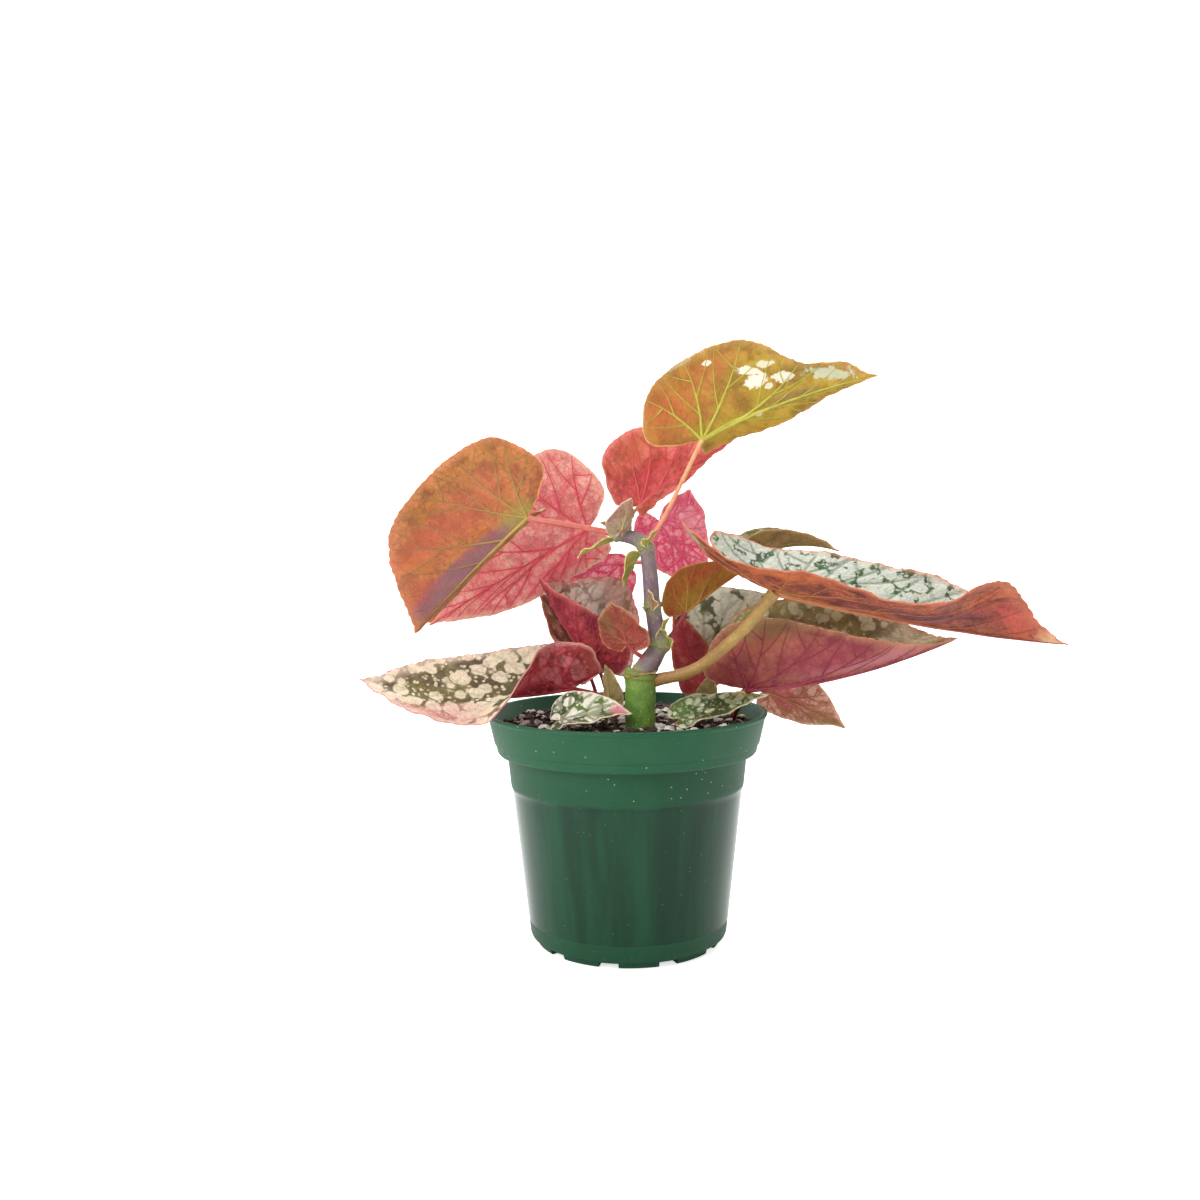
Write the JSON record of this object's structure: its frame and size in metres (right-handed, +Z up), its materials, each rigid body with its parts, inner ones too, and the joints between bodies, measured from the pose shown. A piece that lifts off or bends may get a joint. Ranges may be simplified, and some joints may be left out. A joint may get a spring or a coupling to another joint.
{
  "type": "potted begonia",
  "caption": "Young cane begonia in a round green nursery pot, with lopsided pointed leaves, red beneath and spotted silver above.",
  "frame": {"origin": "centre of the pot's flat underside", "axes": "+Z up along the pot's axis, -Y towards the side that the picture shows, +X to its right"},
  "size_m": [0.2498, 0.1149, 0.2254],
  "materials": {
    "pot_green": "satin green plastic with fine scuffs",
    "soil": "dark, damp and crumbly, with white bits of perlite",
    "cane": "waxy green at the foot, dull purple-brown above",
    "leaf_red": "satin, spotted silver above and red below",
    "leaf_olive": "satin, spotted silver above and olive-orange below",
    "leaf_pink": "satin, thin and bright pink against the light",
    "leaf_spotted": "satin, dark green with large silver spots",
    "leaf_silver": "satin, silver with green veins",
    "sheath": "papery and dry"
  },
  "bodies": {
    "root": {"pot": "pot_green", "soil": "soil", "cane": "cane", "leaf_top": "leaf_olive", "leaf_top_rear": "leaf_red", "leaf_left_large": "leaf_olive", "leaf_left_rear": "leaf_red", "leaf_pink_rear": "leaf_pink", "leaf_young_top": "leaf_silver", "leaf_right_large": "leaf_olive", "leaf_right_small": "leaf_olive", "leaf_right_lower": "leaf_red", "leaf_right_droop": "leaf_pink", "leaf_low_left": "leaf_spotted", "leaf_centre_folded": "leaf_red", "leaf_centre_small": "leaf_red", "leaf_centre_rear": "leaf_red", "leaf_centre_pink": "leaf_pink", "leaf_heart": "leaf_olive", "leaf_silver": "leaf_silver", "leaf_dark": "leaf_red", "leaf_soil_right": "leaf_silver", "leaf_soil_left": "leaf_silver", "sheath_left": "sheath", "sheath_right": "sheath"}
  },
  "joints": []
}
